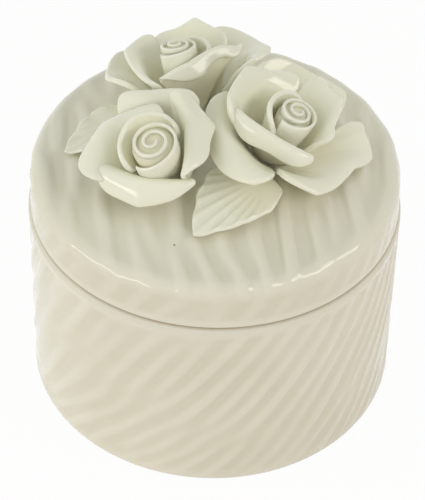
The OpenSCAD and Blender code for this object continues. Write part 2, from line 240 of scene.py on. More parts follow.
# %% [markdown]
# Glaze is a thin sheet of coloured glass over white clay. It runs thin on ridges and lips, where the clay
# shines through, and pools in hollows, where it looks deeper and warmer. The mesh code stores how hollow
# each point is, together with painted shade in the seam under the lid and on the lid's band, and the first
# group turns that into colour, with a slow drift of tone over the piece.
# The second group is the skin of the glaze: the faint orange peel of a fired surface and a roughness that
# is a little uneven. The third marks a speck of iron in the clay, which fires to brown.

# %% Glaze groups
DRIFT_WAVES = 45.0
DRIFT_SPAN = (0.35, 0.65)
POLISH_WAVES = 160.0
PEEL_WAVES = 420.0


def new_group(name, inputs, outputs):
    group = bpy.data.node_groups.new(name, "ShaderNodeTree")
    for socket, kind, value in inputs:
        made = group.interface.new_socket(socket, in_out="INPUT", socket_type=kind)
        made.default_value = value
    for socket, kind in outputs:
        group.interface.new_socket(socket, in_out="OUTPUT", socket_type=kind)
    return group, group.nodes.new("NodeGroupInput"), group.nodes.new("NodeGroupOutput")


def node(tree, kind, **settings):
    made = tree.nodes.new(kind)
    for key, value in settings.items():
        setattr(made, key, value)
    return made


def noise(tree, scale, detail=2.0):
    """Noise in the piece's own space, which moves with it; scale is in waves per metre."""
    place = node(tree, "ShaderNodeTexCoord")
    made = node(tree, "ShaderNodeTexNoise")
    made.inputs["Scale"].default_value = scale
    made.inputs["Detail"].default_value = detail
    tree.links.new(place.outputs["Object"], made.inputs["Vector"])
    return made.outputs["Fac"]


def map_range(tree, value, low, high, to_low, to_high):
    made = node(tree, "ShaderNodeMapRange")
    for name, number in (("From Min", low), ("From Max", high), ("To Min", to_low), ("To Max", to_high)):
        made.inputs[name].default_value = number
    tree.links.new(value, made.inputs["Value"])
    return made.outputs["Result"]


def mix_colour(tree, factor, first, second):
    made = node(tree, "ShaderNodeMix", data_type="RGBA")
    tree.links.new(factor, made.inputs["Factor"])
    for socket, colour in ((made.inputs[6], first), (made.inputs[7], second)):
        if isinstance(colour, tuple):
            socket.default_value = colour
        else:
            tree.links.new(colour, socket)
    return made.outputs[2]


def glaze_tone_group():
    group, given, out = new_group(
        "Glaze tone",
        [
            ("Thin", "NodeSocketColor", (0.8, 0.8, 0.7, 1)),
            ("Pooled", "NodeSocketColor", (0.6, 0.58, 0.45, 1)),
            ("Hollow_and_shade", "NodeSocketFloat", 0.0),
            ("Drift", "NodeSocketFloat", 0.15),
        ],
        [("Color", "NodeSocketColor")],
    )
    slow = map_range(group, noise(group, DRIFT_WAVES), *DRIFT_SPAN, -1.0, 1.0)
    drift = node(group, "ShaderNodeMath", operation="MULTIPLY_ADD")
    group.links.new(slow, drift.inputs[0])
    group.links.new(given.outputs["Drift"], drift.inputs[1])
    group.links.new(given.outputs["Hollow_and_shade"], drift.inputs[2])
    depth = map_range(group, drift.outputs[0], 0.0, 1.0, 0.0, 1.0)
    colour = mix_colour(group, depth, given.outputs["Thin"], given.outputs["Pooled"])
    group.links.new(colour, out.inputs["Color"])
    return group


def glaze_skin_group():
    group, given, out = new_group(
        "Glaze skin",
        [("Polish", "NodeSocketFloat", 0.1), ("Unevenness", "NodeSocketFloat", 0.05)],
        [("Roughness", "NodeSocketFloat"), ("Height", "NodeSocketFloat")],
    )
    rough = node(group, "ShaderNodeMath", operation="MULTIPLY_ADD")
    group.links.new(noise(group, POLISH_WAVES), rough.inputs[0])
    group.links.new(given.outputs["Unevenness"], rough.inputs[1])
    group.links.new(given.outputs["Polish"], rough.inputs[2])
    group.links.new(rough.outputs[0], out.inputs["Roughness"])
    group.links.new(noise(group, PEEL_WAVES, detail=1.0), out.inputs["Height"])
    return group


def iron_speck_group():
    group, given, out = new_group(
        "Iron speck",
        [("Place", "NodeSocketVector", (0.0, 0.0, 0.0)), ("Size", "NodeSocketFloat", 0.0)],
        [("Mask", "NodeSocketFloat")],
    )
    here = node(group, "ShaderNodeTexCoord")
    away = node(group, "ShaderNodeVectorMath", operation="DISTANCE")
    group.links.new(here.outputs["Object"], away.inputs[0])
    group.links.new(given.outputs["Place"], away.inputs[1])
    inside = node(group, "ShaderNodeMath", operation="LESS_THAN")
    group.links.new(away.outputs["Value"], inside.inputs[0])
    group.links.new(given.outputs["Size"], inside.inputs[1])
    group.links.new(inside.outputs[0], out.inputs["Mask"])
    return group


GLAZE_TONE = glaze_tone_group()
GLAZE_SKIN = glaze_skin_group()
IRON_SPECK = iron_speck_group()
print("groups:", [g.name for g in bpy.data.node_groups])

# %% [markdown]
# Two glazes use the groups. The castings' glaze is a warm cream. The roses' and leaves' glaze lets more light
# into the clay, and its colour is painted lighter than the castings' glaze, to make up for the shade among
# the petals. The foot and the seats of lid and base were wiped before firing, so they are bare porcelain:
# pale, matt and a little sandy. Under the lid's edge it is painted brown, partly as grime where the lid has
# rubbed and partly as painted shade in the seam.

# %% Finishes
GLAZE_IOR = 1.5
LIGHT_DEPTH = 1.5 * MM
POLISH_UNEVENNESS = 0.05
PEEL_STRENGTH, PEEL_HEIGHT = 0.03, 1.0 * MM
BARE_ROUGHNESS = 0.8
POROUS_GRAIN = 900.0
SAND_STRENGTH, SAND_HEIGHT = 0.25, 0.3 * MM
IRON_BROWN = (0.25, 0.17, 0.08, 1)
PALE_CLAY, DARK_CLAY = (0.82, 0.8, 0.69, 1), (0.75, 0.72, 0.61, 1)
# Brown under the lid's edge: partly grime where the lid has rubbed, partly painted shade in the seam.
GRIME_AND_SHADE_BROWN = (0.4, 0.32, 0.2, 1)


def placed_group(tree, group, **values):
    made = node(tree, "ShaderNodeGroup", node_tree=group)
    for name, value in values.items():
        made.inputs[name].default_value = value
    return made


def glaze(name, thin, pooled, drift, polish, speck_size, translucency):
    """Glaze whose colour goes from thin to pooled; polish is its least roughness."""
    material = bpy.data.materials.new(name)
    material.use_nodes = True
    tree = material.node_tree
    shader = tree.nodes["Principled BSDF"]
    hollow_and_shade = node(tree, "ShaderNodeAttribute", attribute_name="hollow_and_shade")
    tone = placed_group(tree, GLAZE_TONE, Thin=(*thin, 1), Pooled=(*pooled, 1), Drift=drift)
    tree.links.new(hollow_and_shade.outputs["Fac"], tone.inputs["Hollow_and_shade"])
    speck = placed_group(tree, IRON_SPECK, Size=speck_size)
    speck.name = "iron_speck"
    colour = mix_colour(tree, speck.outputs["Mask"], tone.outputs["Color"], IRON_BROWN)
    skin = placed_group(tree, GLAZE_SKIN, Polish=polish, Unevenness=POLISH_UNEVENNESS)
    peel = node(tree, "ShaderNodeBump")
    peel.inputs["Strength"].default_value = PEEL_STRENGTH
    peel.inputs["Distance"].default_value = PEEL_HEIGHT
    tree.links.new(skin.outputs["Height"], peel.inputs["Height"])
    tree.links.new(colour, shader.inputs["Base Color"])
    tree.links.new(skin.outputs["Roughness"], shader.inputs["Roughness"])
    tree.links.new(peel.outputs["Normal"], shader.inputs["Normal"])
    shader.inputs["IOR"].default_value = GLAZE_IOR
    shader.inputs["Subsurface Weight"].default_value = translucency
    shader.inputs["Subsurface Radius"].default_value = (1.0, 1.0, 1.0)
    shader.inputs["Subsurface Scale"].default_value = LIGHT_DEPTH
    return material


def bare_porcelain():
    material = bpy.data.materials.new("bare_porcelain")
    material.use_nodes = True
    tree = material.node_tree
    shader = tree.nodes["Principled BSDF"]
    grain = noise(tree, POROUS_GRAIN, detail=3.0)
    clay = mix_colour(tree, grain, PALE_CLAY, DARK_CLAY)
    hollow_and_shade = node(tree, "ShaderNodeAttribute", attribute_name="hollow_and_shade")
    # The rim under the lid's edge is painted brown: grime where the lid has rubbed, and painted shade in the
    # seam.
    rubbed_and_shaded = mix_colour(tree, hollow_and_shade.outputs["Fac"], clay, GRIME_AND_SHADE_BROWN)
    tree.links.new(rubbed_and_shaded, shader.inputs["Base Color"])
    sand = node(tree, "ShaderNodeBump")
    sand.inputs["Strength"].default_value = SAND_STRENGTH
    sand.inputs["Distance"].default_value = SAND_HEIGHT
    tree.links.new(grain, sand.inputs["Height"])
    tree.links.new(sand.outputs["Normal"], shader.inputs["Normal"])
    shader.inputs["Roughness"].default_value = BARE_ROUGHNESS
    return material


CASTING_GLAZE = glaze("casting_glaze", thin=(0.81, 0.785, 0.655), pooled=(0.70, 0.67, 0.52), drift=0.12,
                      polish=0.05, speck_size=0.22 * MM, translucency=0.1)
# The roses' glaze is the castings' glaze painted lighter, to make up for the shade among the petals.
ROSE_GLAZE_PAINTED_LIGHTER = glaze("rose_glaze_painted_lighter", thin=(0.9, 0.89, 0.745), pooled=(0.8, 0.77, 0.57), drift=0.15,
                   polish=0.03, speck_size=0.0, translucency=0.4)
BARE_PORCELAIN = bare_porcelain()
print("finishes:", [m.name for m in bpy.data.materials if m.use_nodes])

# %% [markdown]
# Every piece becomes a mesh the same way: points in millimetres, faces, a finish, how hollow each point is
# together with any painted shade, and then the calls that tie it to the CAD model: the body it rides on, and
# the hiding of the solid it stands for. A turned shape is a grid round the axis. A hand-pinched sheet is two
# grids, one each side of a middle surface, whose thickness runs out in a half round at the lip and the sides,
# so that its edge is as soft as glazed clay.

# %% Mesh helpers
WELD, SLIVER = 1e-7, 1e-8
CROWDED_SHARE, EVEN_SHARE = 0.7, 0.3
SHEET_STEP = 0.004
NORMAL_REACH_U, NORMAL_REACH_V = 0.93, 0.94


def add_piece(name, cad_node, body, points, faces, finishes, hollow_and_shade=None, finish_of_face=None):
    mesh = bpy.data.meshes.new(name)
    mesh.from_pydata((np.asarray(points) * MM).tolist(), [], faces)
    for finish in finishes:
        mesh.materials.append(finish)
    if finish_of_face is not None:
        mesh.polygons.foreach_set("material_index", np.asarray(finish_of_face, np.int32))
    mesh.polygons.foreach_set("use_smooth", np.ones(len(mesh.polygons), bool))
    if hollow_and_shade is not None:
        stored = mesh.attributes.new("hollow_and_shade", "FLOAT", "POINT")
        stored.data.foreach_set("value", np.asarray(hollow_and_shade, np.float32))
    weld = bmesh.new()
    weld.from_mesh(mesh)
    bmesh.ops.remove_doubles(weld, verts=weld.verts, dist=WELD)
    bmesh.ops.dissolve_degenerate(weld, edges=weld.edges, dist=SLIVER)
    bmesh.ops.recalc_face_normals(weld, faces=weld.faces)
    weld.to_mesh(mesh)
    weld.free()
    piece = bpy.data.objects.new(name, mesh)
    bpy.context.scene.collection.objects.link(piece)
    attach(piece, body)
    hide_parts(cad_node)
    print(f"{name}: {len(mesh.vertices)} points, {len(mesh.polygons)} faces")


def grid_faces(rows, cols, start=0, flip=False, wrap=False):
    """Quads of a grid of points, stored row by row; wrap joins the last row to the first."""
    i = np.arange(rows if wrap else rows - 1)[:, None]
    j = np.arange(cols - 1)[None, :]
    a = start + i * cols + j
    b = start + (i + 1) % rows * cols + j
    quads = np.stack([a, b, b + 1, a + 1], -1).reshape(-1, 4)
    return (quads[:, ::-1] if flip else quads).tolist()


def unit(vectors):
    return vectors / np.maximum(np.linalg.norm(vectors, axis=-1, keepdims=True), 1e-9)


def smooth_step(x, low, high):
    t = np.clip((x - low) / (high - low), 0, 1)
    return t * t * (3 - 2 * t)


def edge_spaced(count, both_ends):
    """Places from 0 to 1 that crowd together where an edge is rounded: at both ends, or only at the last."""
    t = np.linspace(0, 1, count)
    crowded = (1 - np.cos(np.pi * t)) / 2 if both_ends else np.sin(np.pi / 2 * t)
    return crowded * CROWDED_SHARE + EVEN_SHARE * t


def sheet_grids(middle, cols, rows, thickness, edge, relief=None):
    """Two grids of points, below and above the middle surface, which meet in a half round at three edges.

    The relief, if any, is pressed into the upper grid alone."""
    u = (2 * edge_spaced(cols, both_ends=True) - 1)[:, None]
    v = edge_spaced(rows, both_ends=False)[None, :]
    step = SHEET_STEP
    centre = middle(u, v)
    inner_u, inner_v = NORMAL_REACH_U * u, np.minimum(v, NORMAL_REACH_V)
    normal = unit(np.cross(
        middle(inner_u + step, inner_v) - middle(inner_u - step, inner_v),
        middle(inner_u, inner_v + step) - middle(inner_u, inner_v - step),
    ))
    across = middle(u + step, v) - middle(u - step, v)
    along = middle(u, v + step) - middle(u, v - step)
    to_side = (1 - np.abs(u)) * np.linalg.norm(across, axis=-1) / (2 * step)
    to_lip = (1 - v) * np.linalg.norm(along, axis=-1) / (2 * step)
    near = np.clip(np.minimum(to_side, to_lip) / edge, 0, 1)
    half = thickness(u, v) / 2 * np.sqrt(1 - (1 - near) ** 2)
    upper = half + (relief(u, v) * near if relief else 0)
    return centre - half[..., None] * normal, centre + upper[..., None] * normal


def sheet_faces(cols, rows):
    """Faces of the two grids and of the strip that closes them at the root."""
    count = cols * rows
    root = np.arange(cols) * rows
    strip = np.stack([root[:-1], root[1:], root[1:] + count, root[:-1] + count], -1).tolist()
    return grid_faces(cols, rows) + grid_faces(cols, rows, start=count, flip=True) + strip


print("a sheet of 4 by 3 points a side has", len(sheet_faces(4, 3)), "faces")

# %% [markdown]
# A turned shape starts as an outline, as on the template that a mould maker cuts. It is made of rounds and
# straight runs, so two helpers list the points of an arc and of a line. A point is a distance from the axis
# and a height. The points lie close together where the carving has to bend the surface.

# %% Outline helpers
def arc(centre_r, centre_z, radius, start, end, count):
    a = np.radians(np.linspace(start, end, count))
    return list(zip(centre_r + radius * np.cos(a), centre_z + radius * np.sin(a)))


def line(start, end, count):
    return [tuple(p) for p in np.linspace(start, end, count)]


print("a quarter round in three points:", np.round(arc(0.0, 0.0, 1.0, 0, 90, 3), 2).tolist())

# %% [markdown]
# The carving is a field of soft ridges that all run about the same way, but wander, fork and fade, because
# each was drawn by hand. Eighteen waves of nearly the same pitch and direction, added up, give just that
# pattern, as they do on wind-blown sand. The sum is squeezed so that the valleys come out broad and the
# ridges narrow. The dice are seeded, so each run carves the same box.

# %% Carving
CARVING_WAVES = 18
RIDGE_SHARPNESS = 0.95
VALLEY_WIDTH = 1.7


def carving(turn, run, count, pitch_spread, slope, slope_spread, seed):
    """Depth from 0 on a ridge to 1 in a valley; slope is how far a flute turns per millimetre of its run."""
    dice = np.random.default_rng(seed)
    total = 0.0
    for _ in range(CARVING_WAVES):
        around = round(dice.normal(count, pitch_spread * count))
        leaning = dice.normal(slope, slope_spread)
        total = total + np.cos(around * (turn - leaning * run) + dice.uniform(0, 2 * math.pi))
    ridge = 0.5 + 0.5 * np.tanh(RIDGE_SHARPNESS * total / math.sqrt(CARVING_WAVES / 2))
    return 1 - ridge**VALLEY_WIDTH


print("waves in a carving:", CARVING_WAVES)

# %% [markdown]
# The base was cast in a mould, and the flutes were gouged round its wall with a loop tool, leaning to the
# right as they rise. They die out under a smooth collar that carries the lid. The wall is a turned outline
# with a fine grid, and each flute pushes the grid inward, so that the carving is real shape and takes
# light from every side. Under the foot and on the rim the glaze was wiped away.

# %% Base
TURNS = 720
FLUTES = 42
FLUTE_PITCH_SPREAD = 0.16
FLUTE_LEAN = math.radians(55)
FLUTE_SLOPE = 1 / (BASE_R * math.tan(FLUTE_LEAN))
FLUTE_SLOPE_SPREAD = 0.0035
FLUTE_DEPTH = 0.4
FLUTE_BEND = 0.006
RIM_OUTER_ROUND = 1.7
RIM_FLAT = 0.05
COLLAR_Z = RIM_Z - RIM_FLAT - RIM_OUTER_ROUND
RECESS_EASE, FOOT_EASE = 0.8, 0.4
FLUTE_START = (1.5, 5.0)
FLUTE_END = (COLLAR_Z - 2.6, COLLAR_Z - 0.4)
FLUTE_HOLLOW = 0.6
FLUTE_SEED = 11
OUTER_SKIN = 2.5
# The seam under the lid's edge is painted darker, partly as grime and partly as painted shade; the painted
# shade is strongest at the front right, where the lid's shadow falls.
SEAM_GRIME_AND_SHADE_RISE = (RIM_Z - 0.9, RIM_Z - 0.1)
SEAM_GRIME_AND_SHADE, SEAM_SHADE_SWING, SEAM_SHADE_TURN = 0.6, 0.25, -1.0


def base_outline():
    """Points of the turned outline from under the foot, up the wall, over the rim and down to the floor."""
    ring_in = BASE_R - FOOT_ROUND - FOOT_RING_W
    mouth_r = BASE_R - BASE_WALL
    under = line((0.0, FOOT_RECESS), (ring_in - RECESS_EASE, FOOT_RECESS), 6)
    under += line((ring_in, FOOT_RECESS - RECESS_EASE), (ring_in, FOOT_EASE), 3)
    under += [(ring_in + FOOT_EASE, 0.0)]
    foot = line((ring_in + 1.2, 0.0), (BASE_R - FOOT_ROUND - 0.3, 0.0), 4)
    wall = arc(BASE_R - FOOT_ROUND, FOOT_ROUND, FOOT_ROUND, -88, 0, 12)
    wall += line((BASE_R, FOOT_ROUND + 0.5), (BASE_R, COLLAR_Z - 0.3), 84)
    rim = arc(BASE_R - RIM_OUTER_ROUND, COLLAR_Z, RIM_OUTER_ROUND, 0, 80, 12)
    seat = line((BASE_R - RIM_OUTER_ROUND - 0.1, RIM_Z), (mouth_r + RIM_ROUND, RIM_Z), 4)
    inside = arc(mouth_r + RIM_ROUND, RIM_Z - RIM_ROUND, RIM_ROUND, 100, 180, 6)
    inside += line((mouth_r, RIM_Z - 2), (mouth_r, BASE_FLOOR_Z + FLOOR_ROUND + 1), 10)
    inside += arc(mouth_r - FLOOR_ROUND, BASE_FLOOR_Z + FLOOR_ROUND, FLOOR_ROUND, 0, -90, 9)
    inside += line((mouth_r - FLOOR_ROUND - 3, BASE_FLOOR_Z), (0.0, BASE_FLOOR_Z), 8)
    bare_foot = (len(under) - 1, len(under) + len(foot) - 1)
    rim_start = len(under) + len(foot) + len(wall)
    bare_rim = (rim_start, rim_start + len(rim + seat))
    return np.array(under + foot + wall + rim + seat + inside), bare_foot, bare_rim


def turned_piece(name, cad_node, body, outline, carve, bare_runs):
    """Grid round the axis from an outline that starts and ends on it; carve gives depth, and hollowness with
    any painted shade.
    """
    turns = np.linspace(0, 2 * math.pi, TURNS, endpoint=False)[:, None]
    r, z = outline[None, :, 0], outline[None, :, 1]
    depth, hollow_and_shade = carve(turns, r + 0 * turns, z + 0 * turns)
    slope = np.gradient(outline, axis=0)
    normal = unit(np.stack([slope[:, 1], -slope[:, 0]], -1))
    carved_r = np.maximum(r - depth * normal[None, :, 0], 0)
    carved_z = z - depth * normal[None, :, 1]
    points = np.stack([carved_r * np.cos(turns), carved_r * np.sin(turns), carved_z + 0 * turns], -1)
    rows, cols = points.shape[:2]
    bare = np.zeros((rows, cols - 1), int)
    for first, last in bare_runs:
        bare[:, first:last] = 1
    add_piece(
        name, cad_node, body, points.reshape(-1, 3), grid_faces(rows, cols, wrap=True),
        [CASTING_GLAZE, BARE_PORCELAIN], hollow_and_shade.reshape(-1), bare.reshape(-1),
    )


def base_carving(turn, r, z):
    """Depth of the flutes in the wall, and how hollow each place is, with grime and painted shade in the seam
    under the lid.
    """
    outer = r > BASE_R - OUTER_SKIN
    on_wall = smooth_step(z, *FLUTE_START) * (1 - smooth_step(z, *FLUTE_END)) * outer
    run = z - FLUTE_BEND * (z - RIM_Z / 2) ** 2
    flutes = carving(turn, run, FLUTES, FLUTE_PITCH_SPREAD, FLUTE_SLOPE, FLUTE_SLOPE_SPREAD, FLUTE_SEED)
    # Painted seam shade with some grime, strongest towards the front right.
    grime_and_shade = smooth_step(z, *SEAM_GRIME_AND_SHADE_RISE) * outer * (SEAM_GRIME_AND_SHADE + SEAM_SHADE_SWING * np.cos(turn - SEAM_SHADE_TURN))
    return FLUTE_DEPTH * flutes * on_wall, FLUTE_HOLLOW * flutes * on_wall + grime_and_shade


base_points, foot_run, rim_run = base_outline()
turned_piece("base", "base_box", "base", base_points, base_carving, (foot_run, rim_run))

# %% [markdown]
# The lid is a second casting: an upright band, a rounded shoulder and a low dome. Its flutes run nearly
# parallel over the dome from back to front, leaning a little to one side. They fade over the shoulder, and
# only a faint ripple goes on down the band. Under the lid are the hollow, the flat seat and the flange that
# drops into the base. One speck of iron has come through the glaze near the front.

# %% Lid
LID_FLUTES = 42
LID_FLUTE_SEED = 5
LID_FLUTE_PITCH_SPREAD = 0.17
LID_FLUTE_SLOPE_SPREAD = 0.005
LID_FLUTE_SLANT = 0.16
LID_FLUTE_WANDER = 0.5
WANDER_ALONG, WANDER_ACROSS = 6, 9
LID_FLUTE_DEPTH = 0.9
LID_FLUTE_HOLLOW = 0.55
LID_FLUTE_INNER, LID_FLUTE_OUTWARD = 0.45, 0.55
LID_FLUTE_DEEPER_RIGHT = 0.45
LID_DEEPEST_TURN = -0.7
LID_FLUTE_START = (10, 18)
LID_FLUTE_DEEPENS = (18, 39)
LID_FLUTE_FADE = (36.0, 41.4)
LID_FLUTE_LEFT_OVER = 0.22
SHOULDER_FADE = (SHOULDER_Z - 1.0, SHOULDER_Z + 2.0)
DOME_SKIN, LID_OUTER_SKIN = 1.0, 4.5
BAND_START = (RIM_Z + 0.6, RIM_Z + 2.5)
BAND_END = (SHOULDER_Z - 0.5, SHOULDER_Z + 2.5)
BAND_RIPPLE = 0.2
BAND_SEED = 7
# The whole band is painted a little darker, as painted shade; only the ripple's share is pooled glaze.
BAND_PAINTED_SHADE, BAND_RIPPLE_HOLLOW = 0.25, 0.4
LID_EDGE_ROUND = 0.3
FLANGE_ROUND = 0.5
HOLLOW_EASE = 1.5
HOLLOW_CORNER = (0.45, 0.5)


def lid_outline():
    """Points from the crown over the shoulder, down the band, under the seat, round the flange and inside."""
    edge_angle = math.degrees(math.asin(DOME_EDGE_X / DOME_BALL_R))
    dome = arc(0.0, DOME_BALL_Z, DOME_BALL_R, 90, 90 - edge_angle, 60)
    dome[0] = (0.0, CROWN_Z)
    shoulder = arc(SHOULDER_X, SHOULDER_Z, SHOULDER_R, 90 - edge_angle, 0, 22)[1:]
    band = line((LID_R, SHOULDER_Z - 0.5), (LID_R, RIM_Z + LID_EDGE_ROUND + 0.3), 12)
    band += arc(LID_R - LID_EDGE_ROUND, RIM_Z + LID_EDGE_ROUND, LID_EDGE_ROUND, 0, -80, 5)
    flange_r = BASE_R - BASE_WALL - FLANGE_GAP
    seat = line((LID_R - LID_EDGE_ROUND - 0.5, RIM_Z), (flange_r + 0.3, RIM_Z), 4)
    flange = line((flange_r, RIM_Z - 0.4), (flange_r, FLANGE_Z + 0.6), 4)
    flange += arc(flange_r - FLANGE_ROUND, FLANGE_Z + FLANGE_ROUND, FLANGE_ROUND, 0, -90, 4)
    inner_r = flange_r - FLANGE_T
    flange += arc(inner_r + FLANGE_ROUND, FLANGE_Z + FLANGE_ROUND, FLANGE_ROUND, -90, -180, 4)
    inner_ball = DOME_BALL_R - LID_WALL
    inner_turn = math.degrees(math.asin((inner_r - HOLLOW_EASE) / inner_ball))
    inner_top = DOME_BALL_Z + math.sqrt(inner_ball**2 - inner_r**2)
    inside = line((inner_r, FLANGE_Z + 1.0), (inner_r, inner_top - HOLLOW_EASE), 6)
    inside += [(inner_r - HOLLOW_CORNER[0], inner_top - HOLLOW_CORNER[1])]
    inside += arc(0.0, DOME_BALL_Z, inner_ball, 90 - inner_turn, 90, 14)
    inside[-1] = (0.0, DOME_BALL_Z + inner_ball)
    seat_start = len(dome) + len(shoulder) + len(band) - 1
    points = np.array(dome + shoulder + band + seat + flange + inside)
    return points[::-1], (len(points) - 1 - seat_start - len(seat), len(points) - 1 - seat_start)


def lid_flute(x, y):
    """Which flute a place on the dome belongs to, as the place where the flute crosses the lid's middle."""
    return x + LID_FLUTE_SLANT * y + LID_FLUTE_WANDER * np.sin(y / WANDER_ALONG + x / WANDER_ACROSS)


def lid_carving(turn, r, z):
    """Flutes on the dome, which fade over the shoulder, and a faint ripple on the band."""
    at_rim = r > LID_R - LID_OUTER_SKIN
    outside = (z > RIM_Z) & ((z > dome_z(r) - DOME_SKIN) | at_rim)
    fade = 1 - (1 - LID_FLUTE_LEFT_OVER) * smooth_step(r, *LID_FLUTE_FADE)
    on_dome = smooth_step(r, *LID_FLUTE_START) * fade * smooth_step(z, *SHOULDER_FADE)
    on_band = smooth_step(z, *BAND_START) * (1 - smooth_step(z, *BAND_END))
    x, y = r * np.cos(turn), r * np.sin(turn)
    flutes = carving(lid_flute(x, y) / LID_R, y, LID_FLUTES, LID_FLUTE_PITCH_SPREAD, 0.0,
                     LID_FLUTE_SLOPE_SPREAD, LID_FLUTE_SEED)
    flutes = flutes * on_dome * outside
    ripple = carving(turn, z, LID_FLUTES, FLUTE_PITCH_SPREAD, FLUTE_SLOPE, FLUTE_SLOPE_SPREAD, BAND_SEED)
    ripple = ripple * on_band * outside * at_rim
    outward = LID_FLUTE_INNER + LID_FLUTE_OUTWARD * smooth_step(r, *LID_FLUTE_DEEPENS)
    deeper = outward * (1 + LID_FLUTE_DEEPER_RIGHT * np.cos(turn - LID_DEEPEST_TURN))
    depth = LID_FLUTE_DEPTH * deeper * flutes + BAND_RIPPLE * ripple
    # The band's even darkening is painted shade; the flute and ripple parts are pooled glaze.
    return depth, LID_FLUTE_HOLLOW * flutes + on_band * outside * (BAND_PAINTED_SHADE + BAND_RIPPLE_HOLLOW * ripple)


lid_points, lid_seat_run = lid_outline()
turned_piece("lid", "lid_shell", "lid", lid_points, lid_carving, (lid_seat_run,))

SPECK_TURN, SPECK_R = math.radians(-105.9), 30.9
speck_depth = lid_carving(SPECK_TURN, SPECK_R, dome_z(SPECK_R))[0]
speck_z = dome_z(SPECK_R) - speck_depth
speck = Vector((SPECK_R * math.cos(SPECK_TURN), SPECK_R * math.sin(SPECK_TURN), speck_z))
CASTING_GLAZE.node_tree.nodes["iron_speck"].inputs["Place"].default_value = speck * MM
print("iron speck at", [round(x, 1) for x in speck])

# %% [markdown]
# The roses stand in a ring of three and lean outward. Each has its own frame: the foot on the dome, the axis
# tilted away from the middle. Everything in a rose is drawn in that frame and carried over at the end.

# %% Rose places
CLUSTER_X, CLUSTER_Y = -1.6, -0.4
ROSE_RING_R = 14.0
RIGHT_TURN = -9.5
ROSE_TILT = math.radians(20)
ROSES = {"right": 0, "back": 1, "left": 2}
ROSE_STEP = 360 / len(ROSES)


def rose_turn(rose):
    return math.radians(RIGHT_TURN + ROSE_STEP * ROSES[rose])


def in_rose(rose, points):
    turn = rose_turn(rose)
    x = CLUSTER_X + ROSE_RING_R * math.cos(turn)
    y = CLUSTER_Y + ROSE_RING_R * math.sin(turn)
    lean = Matrix.Rotation(turn, 3, "Z") @ Matrix.Rotation(ROSE_TILT, 3, "Y")
    return points @ np.array(lean).T + np.array([x, y, float(dome_z(math.hypot(x, y)))])


LID_LEAN = math.tan(ROSE_TILT - math.asin(ROSE_RING_R / DOME_BALL_R))
print("rose feet:", {rose: in_rose(rose, np.zeros(3)).round(1).tolist() for rose in ROSES})

# %% [markdown]
# The heart of a rose is one strip of clay rolled up like a ribbon. Its lip shows as a spiral, wide at the
# free end and tight in the middle, and the roll narrows towards its foot. The strip is a sheet whose middle
# surface winds inward; a plug below the lips fills the roll, as the pressed clay does.

# %% Rose hearts
HEART_R = 5.0
HEART_FOOT_R = 3.0
HEART_LIPS = {"left": (6.3, 15.4), "right": (5.25, 14.5), "back": (5.2, 15.3)}
HEART_LEAN = {"left": 0.0, "right": 0.9, "back": -1.4}
HEART_DROP = {"left": 3.0, "right": 0.6, "back": 1.0}
HEART_TURNS = 2.4
HEART_STRIP = 0.85
HEART_INNER_R = 0.85
HEART_END_TURN = math.radians(222)
HEART_THINNING = 0.1
HEART_EDGE = 0.4
HEART_COLS, HEART_ROWS = 160, 26
HEART_TAPER = (-0.25, 0.85)
CURL_RISE, LIP_FALL = 0.5, 0.9
DROP_RUN = (0.86, 1.02)
DROP_SHARPNESS = 1.5
CURL_DEPTH, HEART_ROOT_Z = 7.5, 0.5
ROOT_RUN = (0.5, 0.7)
PLUG_TURNS = 40


def heart_strip(rose):
    """Both sides of the rolled strip, from the curl in the middle to the free end."""
    outer_r, top_z = HEART_LIPS[rose]

    def middle(u, v):
        s = (u + 1) / 2
        wind = HEART_END_TURN - rose_turn(rose) + 2 * math.pi * HEART_TURNS * (1 - s)
        lip_r = HEART_INNER_R + (outer_r - HEART_STRIP / 2 - HEART_INNER_R) * s
        foot = HEART_FOOT_R / outer_r
        narrow = foot + (1 - foot) * smooth_step(v, *HEART_TAPER)
        drop = HEART_DROP[rose] * smooth_step(s, *DROP_RUN) ** DROP_SHARPNESS
        lip_z = top_z + CURL_RISE - LIP_FALL * s - drop
        root_z = top_z - CURL_DEPTH - (top_z - CURL_DEPTH - HEART_ROOT_Z) * smooth_step(s, *ROOT_RUN)
        r = lip_r * narrow
        return np.stack([r * np.cos(wind), r * np.sin(wind), root_z + (lip_z - root_z) * v + 0 * s], -1)

    def thickness(u, v):
        return HEART_STRIP * (1 - HEART_THINNING * v) + 0 * u

    grids = sheet_grids(middle, HEART_COLS, HEART_ROWS, thickness, HEART_EDGE)
    return np.concatenate([in_rose(rose, g.reshape(-1, 3)) for g in grids])


def heart_plug(rose):
    """Pressed clay between the turns of the roll, a little below its lips."""
    outer_r, top_z = HEART_LIPS[rose]
    across = np.array([0, 0.2, 0.4, 0.62, 0.78, 0.76, 0.55, 0.5])
    below = np.array([0.3, 0.4, 0.65, 1.1, 2.2, 4.8, top_z - 2, top_z + 1])
    turns = np.linspace(0, 2 * math.pi, PLUG_TURNS, endpoint=False)[:, None]
    r = outer_r * across
    points = np.stack([r * np.cos(turns), r * np.sin(turns), top_z - below + 0 * turns], -1)
    return in_rose(rose, points.reshape(-1, 3)), grid_faces(PLUG_TURNS, len(across), wrap=True)


def heart(rose):
    strip = heart_strip(rose)
    plug, plug_faces = heart_plug(rose)
    faces = sheet_faces(HEART_COLS, HEART_ROWS)
    faces += (np.array(plug_faces) + len(strip)).tolist()
    hollow_and_shade = np.concatenate([np.zeros(len(strip)), np.ones(len(plug))])
    points = np.concatenate([strip, plug])
    rise = (points[:, 2] - in_rose(rose, np.zeros(3))[2]) / HEART_LIPS[rose][1]
    points[:, 0] += HEART_LEAN[rose] * np.clip(rise, 0, 1)
    add_piece(f"{rose}_heart_roll", f"{rose}_heart", "lid", points, faces, [ROSE_GLAZE_PAINTED_LIGHTER], hollow_and_shade)


